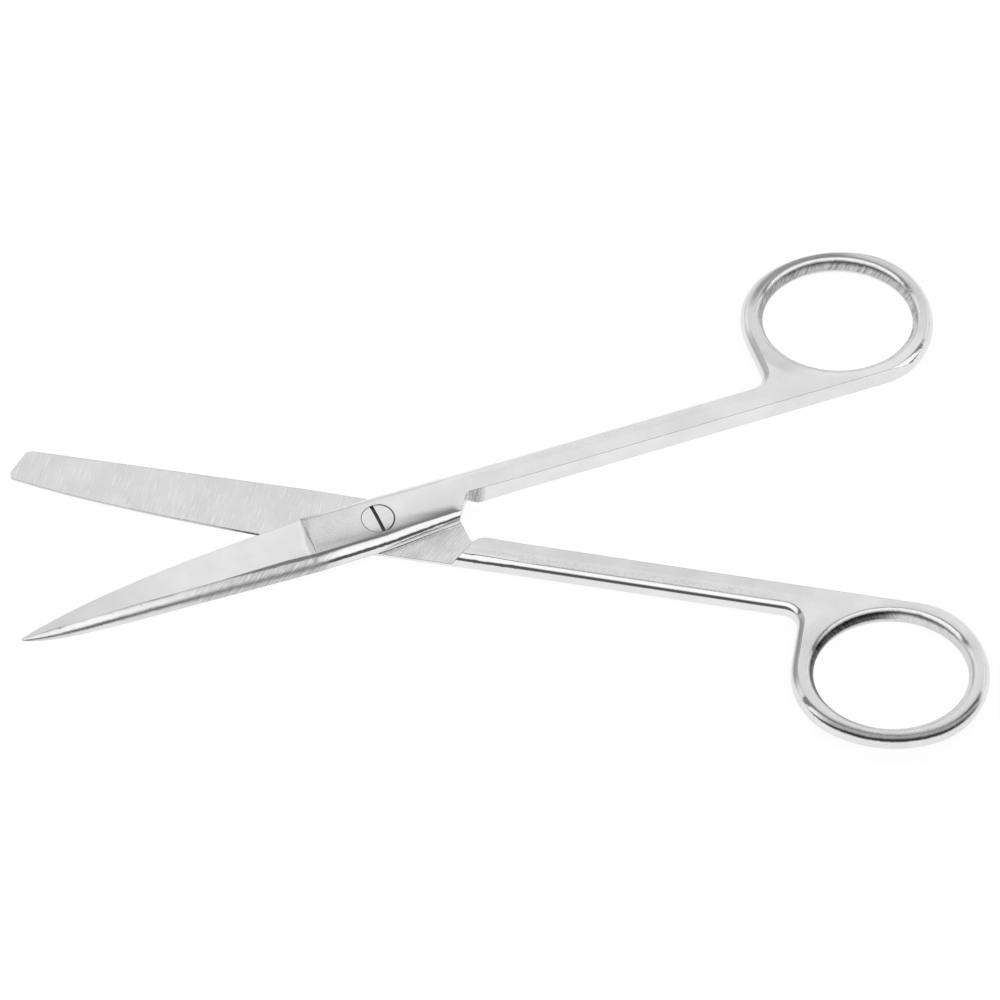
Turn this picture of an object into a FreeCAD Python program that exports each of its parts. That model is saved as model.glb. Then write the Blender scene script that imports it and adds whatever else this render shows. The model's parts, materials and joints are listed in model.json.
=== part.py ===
import FreeCAD, Part
import Sketcher
import math
import os

# Dressing scissors, one tip sharp and one tip blunt, 164 mm long when closed.
# Each half is drawn in its own closed frame: the pivot at the origin, x towards
# the finger ring, y towards the side the ring stands on, z out of the joint face.
# The blunt half is turned over about its own x axis, so the two faces meet.

# Driving dimensions, in millimetres and degrees
DIMENSIONS = {
    "opening_half": 14.84,
    "joint_gap": 0.06,
    # Joint, seen across: a crowned outer face between two ridges
    "joint_outer": 5.20,
    "joint_round": 2.05,
    "joint_ridge": 2.25,
    "joint_crown": 0.25,
    "joint_back": 5.00,
    "joint_back_ridge": 3.05,
    "back_fullness": 0.80,
    # Ear, where the joint ends behind the screw
    "ear_along": 12.5,
    "ear_outer": 5.10,
    "ear_round": 1.80,
    "ear_ridge": 2.05,
    "ear_crown": 0.20,
    "ear_back": 3.90,
    "ear_back_ridge": 2.70,
    # Shank
    "shank_start": 24.0,
    "shank_outer": 5.00,
    "shank_inner": 0.30,
    "shank_round": 1.10,
    "shank_half": 1.85,
    "shank_crown": 0.005,
    "shank_back": 2.60,
    "shank_back_ridge": 1.50,
    # Blades
    "blade_root": 12.0,
    "blade_length": 49.5,
    "root_ridge": 2.20,
    "root_back": 5.20,
    "root_back_ridge": 3.10,
    "blade_back_ridge": 2.75,
    "ridge_shift": 0.95,
    "blade_crown": 0.30,
    "grind_stock": 0.25,
    "grind_start": 11.6,
    "land_height": 0.80,
    "land_lean": 0.15,
    "hollow_depth": 0.10,
    "hollow_tip": 0.02,
    "hollow_start": 7.5,
    "hollow_overhang": 0.5,
    "sharp_root_edge": 5.05,
    "sharp_edge_drop": 6.65,
    "sharp_back_rise": 3.15,
    "sharp_ridge_tip": 0.22,
    "sharp_land_tip": 0.12,
    "blunt_root_edge": 5.15,
    "blunt_edge_drop": 4.00,
    "blunt_back_rise": 0.65,
    "blunt_ridge_tip": 0.90,
    "blunt_land_tip": 0.50,
    # Blunt nose
    "nose_along": 60.85,
    "nose_across": 0.30,
    "nose_angle": 111.0,
    "nose_width": 3.70,
    "nose_start": 15.0,
    "nose_edge_radius": 1.60,
    "nose_back_radius": 1.20,
    # Shoulder and notch behind the joint
    "notch_along": 15.6,
    "notch_angle": 56.8,
    "notch_radius": 1.60,
    "shoulder_along": 15.75,
    "shoulder_angle": 119.2,
    "shoulder_rake": 22.0,
    "shoulder_relief": 1.90,
    "shoulder_edge": 0.10,
    # Finger ring: three tangent arcs outside, an ellipse inside
    "ring_low": 0.85,
    "ring_end_along": 88.60,
    "ring_end_radius": 13.75,
    "ring_end_angle": 61.5,
    "ring_top_radius": 20.60,
    "ring_top_angle": 109.0,
    "ring_side_radius": 12.30,
    "ring_corner_along": 91.00,
    "ring_corner_radius": 11.50,
    "ring_corner_sweep": 70.0,
    "neck_radius": 2.60,
    "hole_along": 86.50,
    "hole_across": 13.65,
    "hole_major": 12.60,
    "hole_minor": 10.70,
    "hole_tilt": 14.9,
    # Pivot screw
    "head_diameter": 5.25,
    "head_thickness": 1.10,
    "head_clearance": 0.08,
    "head_sunk": 0.02,
    "seat_gap": 0.02,
    "body_diameter": 3.60,
    "body_clearance": 0.04,
    "thread_diameter": 3.00,
    "thread_gap": 0.01,
    "tail_proud": 0.03,
    "tail_chamfer": 0.25,
    "slot_width": 0.60,
    "slot_depth": 0.60,
    "slot_angle": 94.3,
}
# How far a cutting shape stands outside the metal that it cuts
OVERSIZE = 3.0
BEYOND_PART = 12.0
# How far two cuts that meet in one corner overlap, so that no film is left between them
OVERLAP = 0.02
# The grind plane passes this far under the forged ridge, so the two meet in one crisp line
RIDGE_BITE = 0.05

doc = FreeCAD.newDocument("DressingScissors")
sizes = doc.addObject("Spreadsheet::Sheet", "Sizes")
for row, (alias, number) in enumerate(DIMENSIONS.items(), start=1):
    sizes.set(f"A{row}", alias)
    sizes.set(f"B{row}", str(number))
    sizes.setAlias(f"B{row}", alias)
doc.recompute()


class Measure:
    """A size worked out from the sheet: its number now, and the expression that binds it."""

    def __init__(self, number, expression):
        self.number = number
        self.expression = expression

    def __add__(self, other):
        other = measure(other)
        return Measure(self.number + other.number, f"({self.expression} + {other.expression})")

    def __sub__(self, other):
        other = measure(other)
        return Measure(self.number - other.number, f"({self.expression} - {other.expression})")

    def __mul__(self, other):
        other = measure(other)
        return Measure(self.number * other.number, f"({self.expression} * {other.expression})")

    def __truediv__(self, other):
        other = measure(other)
        return Measure(self.number / other.number, f"({self.expression} / {other.expression})")

    def __neg__(self):
        return Measure(-self.number, f"(-1 * {self.expression})")


def measure(value):
    """A plain number as a Measure; a Measure stays as it is."""
    if isinstance(value, Measure):
        return value
    return Measure(float(value), f"({float(value):.6f})")


def size(alias):
    """The named cell of the sheet."""
    return Measure(DIMENSIONS[alias], f"Sizes.{alias}")


def cosine(angle):
    return Measure(math.cos(math.radians(angle.number)), f"cos({angle.expression} * 1 deg)")


def sine(angle):
    return Measure(math.sin(math.radians(angle.number)), f"sin({angle.expression} * 1 deg)")


def tangent(angle):
    return Measure(math.tan(math.radians(angle.number)), f"tan({angle.expression} * 1 deg)")


def root(area):
    return Measure(math.sqrt(area.number), f"sqrt({area.expression})")


def blend(start, finish, share):
    """The size that lies so far between two others."""
    return start + (finish - start) * share


def arc_radius(half_chord, rise):
    """The radius of an arc that rises so far over half its chord."""
    return (half_chord * half_chord + rise * rise) / (rise * 2)


def along_from(point, distance, angle):
    """The point that lies at a distance and an angle from another."""
    return (point[0] + distance * cosine(angle), point[1] + distance * sine(angle))


def new_sketch(body, name, role, station=None):
    """A sketch on one of the body's own planes, moved along that plane's normal to a station."""
    sketch = body.newObject("Sketcher::SketchObject", name)
    plane = next(feature for feature in body.Origin.OriginFeatures if feature.Role == role)
    sketch.AttachmentSupport = [(plane, "")]
    sketch.MapMode = "FlatFace"
    if station is not None:
        offset = FreeCAD.Vector(0, 0, station.number)
        sketch.AttachmentOffset = FreeCAD.Placement(offset, FreeCAD.Rotation())
        sketch.setExpression("AttachmentOffset.Base.z", station.expression)
    return sketch


def bind(sketch, label, kind, *target, size_bound):
    """Add one sizing constraint, name it, and bind it to the sheet."""
    index = sketch.addConstraint(Sketcher.Constraint(kind, *target, size_bound.number))
    sketch.renameConstraint(index, label)
    sketch.setExpression(f"Constraints.{label}", size_bound.expression)


def pin_point(sketch, geometry, end, label, point):
    """Fix one end of a line or arc at a bound place."""
    bind(sketch, f"{label}_across", "DistanceX", geometry, end, size_bound=point[0])
    bind(sketch, f"{label}_up", "DistanceY", geometry, end, size_bound=point[1])


def arc_between(start, finish, radius):
    """The minor arc from start to finish; a positive radius turns left, a negative one right."""
    chord = finish - start
    middle = (start + finish) * 0.5
    reach = math.sqrt(radius * radius - chord.Length * chord.Length / 4)
    left = FreeCAD.Vector(-chord.y, chord.x, 0).normalize()
    centre = middle + left * math.copysign(reach, radius)
    circle = Part.Circle(centre, FreeCAD.Vector(0, 0, 1), abs(radius))
    first, last = (start, finish) if radius > 0 else (finish, start)
    return Part.ArcOfCircle(circle, circle.parameter(first), circle.parameter(last))


def draw_chain(sketch, corners, radii):
    """Lines and arcs from corner to corner: None for a line, or an arc's signed radius.
    As many radii as corners close the outline, and one fewer leaves it open."""
    plain = [FreeCAD.Vector(across.number, up.number, 0) for across, up in corners]
    ends = []
    for number, radius in enumerate(radii):
        start = plain[number]
        finish = plain[(number + 1) % len(plain)]
        first_end, last_end = 1, 2
        if radius is None:
            geometry = sketch.addGeometry(Part.LineSegment(start, finish), False)
        else:
            geometry = sketch.addGeometry(arc_between(start, finish, radius.number), False)
            if radius.number < 0:
                first_end, last_end = 2, 1
                radius = -radius
            bind(sketch, f"radius_{number}", "Radius", geometry, size_bound=radius)
        pin_point(sketch, geometry, first_end, f"corner_{number}", corners[number])
        if ends:
            sketch.addConstraint(Sketcher.Constraint("Coincident", *ends[-1], geometry, first_end))
        ends.append((geometry, last_end))
    if len(radii) == len(corners):
        sketch.addConstraint(Sketcher.Constraint("Coincident", *ends[-1], 0, first_end_of(radii[0])))
    else:
        pin_point(sketch, *ends[-1], "corner_last", corners[-1])


def first_end_of(radius):
    """Which end of its arc a stretch starts from: arcs that turn right run backwards."""
    return 2 if radius is not None and radius.number < 0 else 1


def draw_circle(sketch, radius):
    """A circle about the sketch's origin."""
    circle = Part.Circle(FreeCAD.Vector(0, 0, 0), FreeCAD.Vector(0, 0, 1), radius.number)
    geometry = sketch.addGeometry(circle, False)
    sketch.addConstraint(Sketcher.Constraint("Coincident", geometry, 3, -1, 1))
    bind(sketch, "radius", "Radius", geometry, size_bound=radius)


def pad(body, name, sketch, length):
    """Metal to both sides of a sketch."""
    feature = body.newObject("PartDesign::Pad", name)
    feature.Profile = sketch
    feature.SideType = "Symmetric"
    feature.Length = length.number
    feature.setExpression("Length", length.expression)
    sketch.Visibility = False
    return feature


def pocket(body, name, sketch, length, side="One side", reverse=False, taper=None):
    """A cut away from a sketch, below it unless reversed, or to both sides of it."""
    feature = body.newObject("PartDesign::Pocket", name)
    feature.Profile = sketch
    feature.SideType = side
    feature.Length = length.number
    feature.setExpression("Length", length.expression)
    feature.Reversed = reverse
    if taper is not None:
        feature.TaperAngle = taper.number
        feature.setExpression("TaperAngle", taper.expression)
    return feature


def loft(body, name, kind, sections, ruled=False):
    """A skin through sections, in order: smooth, or straight from each one to the next."""
    feature = body.newObject(f"PartDesign::{kind}Loft", name)
    feature.Profile = sections[0]
    feature.Sections = sections[1:]
    feature.Ruled = ruled
    return feature


# Heights of the assembly: the screw's tail stands on z = 0, the joint faces meet at mid height
joint_crest = size("joint_ridge") + size("joint_crown")
mid_height = joint_crest + size("tail_proud") + size("joint_gap") / 2


# The handle: one plate for shank and ring, cut out 0.3 mm large and rounded back to size

RIM_STOCK = 0.3
# The rounding cutter starts this far inside the joint, and reaches this far past each face
RIM_START = 1.0
RIM_REACH = 0.12
# The hole's wall turns this far from mid thickness to past each face, in even steps
HOLE_TURN = 66.0
HOLE_STEPS = 4


def ring_outline(grow):
    """The outer outline from under the ring, round it and back along the shank's outer side."""
    low = -size("ring_low")
    end_radius = size("ring_end_radius")
    top_radius = size("ring_top_radius")
    side_radius = size("ring_side_radius")
    end_centre = (size("ring_end_along"), low + end_radius)
    top_centre = along_from(end_centre, end_radius - top_radius, size("ring_end_angle"))
    side_centre = along_from(top_centre, top_radius - side_radius, size("ring_top_angle"))
    side_along = side_centre[0] - side_radius - grow
    neck_top = size("shank_outer") + size("neck_radius")
    corners = [
        (end_centre[0], low - grow),
        along_from(end_centre, end_radius + grow, size("ring_end_angle")),
        along_from(side_centre, side_radius + grow, size("ring_top_angle")),
        (side_along, side_centre[1]),
        (side_along, neck_top),
        (side_along - size("neck_radius") + grow, size("shank_outer") + grow),
    ]
    radii = [
        end_radius + grow,
        top_radius + grow,
        side_radius + grow,
        None,
        -(size("neck_radius") - grow),
    ]
    return corners, radii


def add_handle(body):
    """Shank and ring as one flat plate, with its outer rim rounded and the finger hole waisted."""
    stock = measure(RIM_STOCK)
    corners, radii = ring_outline(stock)
    outline = new_sketch(body, "HandleOutline", "XY_Plane")
    start = size("shank_start")
    corners.append((start, size("shank_outer") + stock))
    corners.append((start, -size("ring_low") - stock))
    draw_chain(outline, corners, radii + [None, None, None])
    pad(body, "HandlePlate", outline, size("shank_half") * 2)

    rim = new_sketch(body, "RimPath", "XY_Plane")
    corners, radii = ring_outline(measure(0))
    path_start = start - RIM_START
    corners.append((path_start, size("shank_outer")))
    radii.append(None)
    backwards = [None if radius is None else -radius for radius in reversed(radii)]
    draw_chain(rim, corners[::-1], backwards)

    section = new_sketch(body, "RimSection", "YZ_Plane", path_start)
    rim_radius = arc_radius(size("shank_half"), size("shank_round"))
    reach = size("shank_half") + RIM_REACH
    inner = size("shank_outer") - rim_radius + root(rim_radius * rim_radius - reach * reach)
    outer = size("shank_outer") + RIM_STOCK * 2
    draw_chain(
        section,
        [(inner, -reach), (outer, -reach), (outer, reach), (inner, reach)],
        [None, None, None, -rim_radius],
    )
    rounding = body.newObject("PartDesign::SubtractivePipe", "RimRounding")
    rounding.Profile = section
    rounding.Spine = (rim, [])
    rounding.Mode = "Standard"


def hole_section(body, turn):
    """One ellipse of the finger hole: narrowest at mid thickness, wider towards the faces."""
    rim_radius = arc_radius(size("shank_half"), size("shank_round"))
    widen = rim_radius - rim_radius * cosine(turn)
    sketch = new_sketch(body, "HoleSection", "XY_Plane", rim_radius * sine(turn))
    centre = FreeCAD.Vector(DIMENSIONS["hole_along"], DIMENSIONS["hole_across"], 0)
    tilt = math.radians(-DIMENSIONS["hole_tilt"])
    major = size("hole_major") + widen
    minor = size("hole_minor") + widen
    on_major = centre + FreeCAD.Vector(math.cos(tilt), math.sin(tilt), 0) * major.number
    on_minor = centre + FreeCAD.Vector(-math.sin(tilt), math.cos(tilt), 0) * minor.number
    ellipse = sketch.addGeometry(Part.Ellipse(on_major, on_minor, centre), False)
    sketch.exposeInternalGeometry(ellipse)
    pin_point(sketch, ellipse, 3, "centre", (size("hole_along"), size("hole_across")))
    bind(sketch, "major", "Distance", ellipse + 1, size_bound=major * 2)
    bind(sketch, "minor", "Distance", ellipse + 2, size_bound=minor * 2)
    return sketch


def add_finger_hole(body):
    """The finger hole, waisted like a bead so that no edge meets the finger."""
    turns = [measure(HOLE_TURN * step / HOLE_STEPS) for step in range(-HOLE_STEPS, HOLE_STEPS + 1)]
    sections = [hole_section(body, turn) for turn in turns]
    loft(body, "FingerHole", "Subtractive", sections, ruled=True)


# The forging from shank to blade tip: a straight-drawn joint and a curved blade

def forging_section(body, along, outer, rounding, ridge, crown, back_ridge, back):
    """Round ring side, crowned faces between two ridges, and a back that falls away in arcs."""
    sketch = new_sketch(body, "ForgingSection", "YZ_Plane", along)
    side_radius = arc_radius(ridge, rounding)
    face_radius = arc_radius((outer - rounding + back_ridge) / 2, crown)
    run = back - back_ridge
    back_radius = root(run * run + ridge * ridge) * size("back_fullness")
    corners = [
        (outer - rounding, -ridge),
        (outer - rounding, ridge),
        (-back_ridge, ridge),
        (-back, measure(0)),
        (-back_ridge, -ridge),
    ]
    draw_chain(sketch, corners, [side_radius, face_radius, back_radius, back_radius, face_radius])
    return sketch


# Powers that say how late along the blade a line turns in, and the stations where it is drawn
EDGE_SWEEP = 3.5
SHARP_BACK_SWEEP = 10.0
SHARP_BACK_TAPER = 0.4
RIDGE_SWEEP = 5.0
THINNING_SWEEP = 6.0
BLADE_SHARES = [0.25, 0.5, 0.7, 0.85, 0.94, 1.0]


def blade_along(share):
    """Place along the blade, from its root to its tip."""
    return -(size("blade_root") + size("blade_length") * share)


def blade_edge(kind, share):
    """The cutting edge runs straight at first and sweeps in towards the tip."""
    sweep = (share + share ** EDGE_SWEEP) / 2
    return size(f"{kind}_root_edge") - size(f"{kind}_edge_drop") * sweep


def blade_back(kind, share):
    """How far the back stands out: nearly straight, and on the sharp blade hooked in at the tip."""
    if kind == "sharp":
        sweep = SHARP_BACK_TAPER * share + (1 - SHARP_BACK_TAPER) * share ** SHARP_BACK_SWEEP
    else:
        sweep = share
    return size("root_back") - size(f"{kind}_back_rise") * sweep


def blade_ridge(kind, share):
    """Height of the ridge: the blade stays thick for most of its length and thins at the tip."""
    return blend(size("root_ridge"), size(f"{kind}_ridge_tip"), share ** THINNING_SWEEP)


def ridge_across(share):
    """How far the ridge lies to the back."""
    return size("blade_back_ridge") - size("ridge_shift") * share ** RIDGE_SWEEP


def blade_section(body, kind, share):
    """The blade before it is ground, with a little stock outside the edge."""
    ridge = blade_ridge(kind, share)
    outer = blade_edge(kind, share) + size("grind_stock")
    return forging_section(
        body, blade_along(share), outer, ridge / 2, ridge, ridge * size("blade_crown"),
        ridge_across(share), blade_back(kind, share))


def root_section(body):
    """Where the joint ends and the blade begins."""
    return forging_section(
        body, -size("blade_root"), size("joint_outer"), size("joint_round"), size("root_ridge"),
        size("joint_crown"), size("root_back_ridge"), size("root_back"))


def add_joint(body):
    """From the shank through the ear and the joint to the blade's root."""
    shank_end = forging_section(
        body, size("shank_start"), size("shank_outer"), size("shank_round"), size("shank_half"),
        size("shank_crown"), size("shank_back_ridge"), size("shank_back"))
    ear = forging_section(
        body, size("ear_along"), size("ear_outer"), size("ear_round"), size("ear_ridge"),
        size("ear_crown"), size("ear_back_ridge"), size("ear_back"))
    middle = forging_section(
        body, measure(0), size("joint_outer"), size("joint_round"), size("joint_ridge"),
        size("joint_crown"), size("joint_back_ridge"), size("joint_back"))
    loft(body, "JointForging", "Additive", [shank_end, ear, middle, root_section(body)], ruled=True)


def add_blade(body, kind):
    """The blade's forging, from its root to its tip."""
    sections = [blade_section(body, kind, share) for share in BLADE_SHARES]
    loft(body, "BladeForging", "Additive", [root_section(body)] + sections)


def grind_section(body, kind, along, share):
    """What is ground off the blade: the flank from the edge's narrow land up past the ridge."""
    edge = blade_edge(kind, share)
    land = blend(size("land_height"), size(f"{kind}_land_tip"), share)
    ridge = blade_ridge(kind, share) - RIDGE_BITE
    ridge_place = -ridge_across(share)
    lean = size("land_lean") / size("land_height")
    slope = (ridge - land) / (edge - lean * land - ridge_place)
    far = ridge_place - OVERSIZE
    sketch = new_sketch(body, "GrindSection", "YZ_Plane", along)
    corners = [
        (edge + lean * OVERSIZE, measure(-OVERSIZE)),
        (size("joint_outer") + OVERSIZE, measure(-OVERSIZE)),
        (size("joint_outer") + OVERSIZE, measure(OVERSIZE * 2)),
        (far, measure(OVERSIZE * 2)),
        (far, ridge + slope * OVERSIZE),
        (edge - lean * land, land),
    ]
    draw_chain(sketch, corners, [None] * len(corners))
    return sketch


def add_grind(body, kind):
    """The blade's flank, ground from a shoulder beside the joint out past the tip."""
    sections = [grind_section(body, kind, -size("grind_start"), 0.0)]
    for share in BLADE_SHARES[:-1]:
        sections.append(grind_section(body, kind, blade_along(share), share))
    sections.append(grind_section(body, kind, blade_along(1.0) - OVERLAP, 1.0))
    loft(body, "BladeGrind", "Subtractive", sections)


def add_joint_face(body):
    """The flat joint face, with a raked shoulder that stops it at the shank."""
    foot = (size("shoulder_along"), size("shank_inner"))
    below = along_from(foot, measure(-BEYOND_PART), size("shoulder_angle"))
    above = along_from(foot, measure(BEYOND_PART), size("shoulder_angle"))
    past_tip = blade_along(1.0) - BEYOND_PART
    sketch = new_sketch(body, "JointFaceOutline", "XY_Plane")
    draw_chain(sketch, [(past_tip, below[1]), below, above, (past_tip, above[1])], [None] * 4)
    pocket(body, "JointFace", sketch, measure(OVERSIZE * 2), taper=size("shoulder_rake"))


def relief_section(body, depth, reach):
    """The shoulder's corner rounded off, more so the further it is from the joint face."""
    turn = size("shoulder_angle")
    rake = tangent(size("shoulder_rake")) / sine(turn)
    corner = (size("shoulder_along") + rake * depth - OVERLAP, size("shank_inner") - OVERLAP)
    radius = reach * tangent(turn / 2)
    sketch = new_sketch(body, "ReliefSection", "XY_Plane", -depth)
    corners = [
        (corner[0] - OVERSIZE, corner[1] - OVERSIZE),
        (corner[0] + reach, corner[1]),
        along_from(corner, reach, turn),
    ]
    draw_chain(sketch, corners, [None, -radius, None])
    return sketch


def add_shoulder_relief(body):
    deepest = size("shank_half") + RIM_STOCK
    sections = [
        relief_section(body, measure(0), size("shoulder_edge")),
        relief_section(body, deepest, size("shoulder_relief")),
    ]
    loft(body, "ShoulderRelief", "Subtractive", sections)


def add_notch(body):
    """The notch behind the joint: the ear's slanted end, a round corner, the shank's flat wall,
    and a long soft corner that leads the wall into the ring."""
    corner = (size("notch_along"), size("shank_inner"))
    run = size("notch_radius") * tangent(size("notch_angle") / 2)
    ear_end = along_from(corner, measure(-BEYOND_PART), size("notch_angle"))
    ring_radius = size("ring_corner_radius")
    ring_centre = (size("ring_corner_along"), corner[1] + ring_radius)
    ring_exit = along_from(ring_centre, ring_radius, size("ring_corner_sweep") - 90)
    end = size("ring_end_along") + size("ring_end_radius") + BEYOND_PART
    corners = [
        ear_end,
        (end, ear_end[1]),
        (end, ring_exit[1]),
        ring_exit,
        (ring_centre[0], corner[1]),
        (corner[0] + run, corner[1]),
        along_from(corner, -run, size("notch_angle")),
    ]
    sketch = new_sketch(body, "NotchOutline", "XY_Plane")
    draw_chain(sketch, corners, [None, None, None, -ring_radius, None, size("notch_radius"), None])
    pocket(body, "Notch", sketch, measure(BEYOND_PART), side="Symmetric")


def hollow_section(body, kind, along, share, depth):
    """A shallow arc across the blade's inner face."""
    outer = blade_edge(kind, share) + size("hollow_overhang")
    back = -blade_back(kind, share) - size("hollow_overhang")
    sketch = new_sketch(body, "HollowSection", "YZ_Plane", along)
    corners = [
        (back, measure(-1)),
        (outer, measure(-1)),
        (outer, measure(0)),
        (back, measure(0)),
    ]
    draw_chain(sketch, corners, [None, None, arc_radius((outer - back) / 2, depth), None])
    return sketch


def add_hollow(body, kind):
    """The hollow ground inner face, so that the blades touch only at the ride and at the cut."""
    shallow = size("hollow_tip")
    sections = [
        hollow_section(body, kind, size("hollow_start"), 0.0, shallow),
        hollow_section(body, kind, -size("hollow_start"), 0.0, size("hollow_depth")),
    ]
    for share in BLADE_SHARES[1:]:
        depth = blend(size("hollow_depth"), shallow, share)
        sections.append(hollow_section(body, kind, blade_along(share), share, depth))
    loft(body, "HollowGrind", "Subtractive", sections)


def add_blunt_nose(body):
    """The blunt blade's nose: two round corners with a straight stretch between them."""
    edge_radius = size("nose_edge_radius")
    back_radius = size("nose_back_radius")
    nose_turn = size("nose_angle")
    edge_end = (-size("nose_along"), -size("nose_across"))
    back_end = along_from(edge_end, -size("nose_width"), nose_turn)
    edge_centre = along_from(edge_end, -edge_radius, nose_turn + 90)
    back_centre = along_from(back_end, -back_radius, nose_turn + 90)
    edge_start = along_from(edge_centre, edge_radius, size("nose_angle") + size("nose_start"))
    back_start = (back_centre[0], back_centre[1] - back_radius)
    outside = -size("nose_along") - OVERSIZE
    corners = [
        edge_start,
        (edge_start[0], edge_start[1] + OVERSIZE),
        (outside, edge_start[1] + OVERSIZE),
        (outside, back_start[1] - OVERSIZE),
        (back_start[0], back_start[1] - OVERSIZE),
        back_start,
        back_end,
        edge_end,
    ]
    sketch = new_sketch(body, "NoseOutline", "XY_Plane")
    draw_chain(sketch, corners, [None, None, None, None, None, -back_radius, None, -edge_radius])
    pocket(body, "Nose", sketch, measure(BEYOND_PART), side="Symmetric")


def add_screw_seat(body, kind):
    """The upper half holds the head in a counterbore; the lower half holds the thread."""
    if kind == "sharp":
        seat = joint_crest - size("head_sunk") - size("head_thickness") - size("seat_gap")
        recess = new_sketch(body, "HeadRecessOutline", "XY_Plane", seat)
        draw_circle(recess, size("head_diameter") / 2 + size("head_clearance"))
        pocket(body, "HeadRecess", recess, measure(OVERSIZE), reverse=True)
        bore_radius = size("body_diameter") / 2 + size("body_clearance")
    else:
        bore_radius = size("thread_diameter") / 2 + size("thread_gap")
    bore = new_sketch(body, "ScrewBoreOutline", "XY_Plane")
    draw_circle(bore, bore_radius)
    pocket(body, "ScrewBore", bore, measure(BEYOND_PART), side="Symmetric")


def report_volume(body, stage):
    """Every cut has to show in the volume, because a cut that points away from the metal is silent."""
    doc.recompute()
    print(f"{body.Label} after {stage}: {body.Shape.Volume:.1f} mm3")


def make_half(kind):
    """One half of the scissors in its own closed frame."""
    body = doc.addObject("PartDesign::Body", f"{kind}_half")
    body.Label = f"{kind}_half"
    add_handle(body)
    add_finger_hole(body)
    report_volume(body, "handle and ring")
    add_joint(body)
    report_volume(body, "joint")
    add_blade(body, kind)
    report_volume(body, "blade")
    add_grind(body, kind)
    report_volume(body, "blade grind")
    add_joint_face(body)
    add_shoulder_relief(body)
    add_notch(body)
    report_volume(body, "joint face and notch")
    add_hollow(body, kind)
    report_volume(body, "hollow grind")
    add_screw_seat(body, kind)
    report_volume(body, "screw seat")
    if kind == "blunt":
        add_blunt_nose(body)
        report_volume(body, "blunt nose")
    return body


def make_screw():
    """The pivot screw, in the upper half's directions, standing on its tail."""
    body = doc.addObject("PartDesign::Body", "pivot_screw")
    body.Label = "pivot_screw"
    thread = size("thread_diameter") / 2
    shoulder = size("body_diameter") / 2
    head = size("head_diameter") / 2
    chamfer = size("tail_chamfer")
    shoulder_foot = mid_height - size("joint_gap") / 2 + size("thread_gap")
    head_top = mid_height + size("joint_gap") / 2 + joint_crest
    head_foot = head_top - size("head_sunk") - size("head_thickness")
    profile = new_sketch(body, "ScrewProfile", "XZ_Plane")
    corners = [
        (measure(0), measure(0)),
        (thread - chamfer, measure(0)),
        (thread, chamfer),
        (thread, shoulder_foot),
        (shoulder, shoulder_foot),
        (shoulder, head_foot),
        (head, head_foot),
        (head, head_top),
        (measure(0), head_top),
    ]
    draw_chain(profile, corners, [None] * len(corners))
    turned = body.newObject("PartDesign::Revolution", "TurnedScrew")
    turned.Profile = profile
    turned.ReferenceAxis = (profile, ["V_Axis"])
    turned.Angle = 360
    doc.recompute()

    crown = new_sketch(body, "CrownOutline", "YZ_Plane")
    face_centre = (size("joint_outer") - size("joint_round") - size("joint_back_ridge")) / 2
    half_face = (size("joint_outer") - size("joint_round") + size("joint_back_ridge")) / 2
    ridge_height = head_top - size("joint_crown") - size("head_sunk")
    corners = [
        (face_centre - half_face, ridge_height),
        (face_centre + half_face, ridge_height),
        (face_centre + half_face, ridge_height + OVERSIZE),
        (face_centre - half_face, ridge_height + OVERSIZE),
    ]
    draw_chain(crown, corners, [-arc_radius(half_face, size("joint_crown")), None, None, None])
    pocket(body, "Crown", crown, measure(BEYOND_PART), side="Symmetric")

    slot = new_sketch(body, "SlotOutline", "XY_Plane", head_top - size("head_sunk") - size("slot_depth"))
    direction = size("slot_angle")
    side = along_from((measure(0), measure(0)), size("slot_width") / 2, direction + 90)
    far = (-side[0], -side[1])
    corners = [
        along_from(far, -head * 2, direction),
        along_from(far, head * 2, direction),
        along_from(side, head * 2, direction),
        along_from(side, -head * 2, direction),
    ]
    draw_chain(slot, corners, [None] * 4)
    pocket(body, "Slot", slot, measure(OVERSIZE), reverse=True)
    return body


sharp_half = make_half("sharp")
blunt_half = make_half("blunt")
pivot_screw = make_screw()

# Assembly: the halves opened evenly about the screw, the blunt one turned over
opening = DIMENSIONS["opening_half"]
half_gap = DIMENSIONS["joint_gap"] / 2
upright = FreeCAD.Rotation(FreeCAD.Vector(0, 0, 1), opening)
turned_over = FreeCAD.Rotation(FreeCAD.Vector(0, 0, 1), -opening) * FreeCAD.Rotation(FreeCAD.Vector(1, 0, 0), 180)
sharp_half.Placement = FreeCAD.Placement(FreeCAD.Vector(0, 0, mid_height.number + half_gap), upright)
blunt_half.Placement = FreeCAD.Placement(FreeCAD.Vector(0, 0, mid_height.number - half_gap), turned_over)
pivot_screw.Placement = FreeCAD.Placement(FreeCAD.Vector(0, 0, 0), upright)
doc.recompute()

# Every object is checked before anything is written
failed = [item.Name for item in doc.Objects if "Invalid" in item.State or "Error" in item.State]
if failed:
    raise RuntimeError(f"objects that failed: {failed}")
nodes = [sharp_half, blunt_half, pivot_screw]
for node in nodes:
    if node.Shape.isNull() or not node.Shape.isValid() or len(node.Shape.Solids) != 1:
        raise RuntimeError(f"{node.Label} isn't one valid solid")
os.makedirs("parts", exist_ok=True)
for node in nodes:
    node.Shape.exportStep(f"parts/{node.Label}.step")
    print(node.Label, f"{node.Shape.Volume:.1f} mm3", node.Shape.BoundBox)
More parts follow.
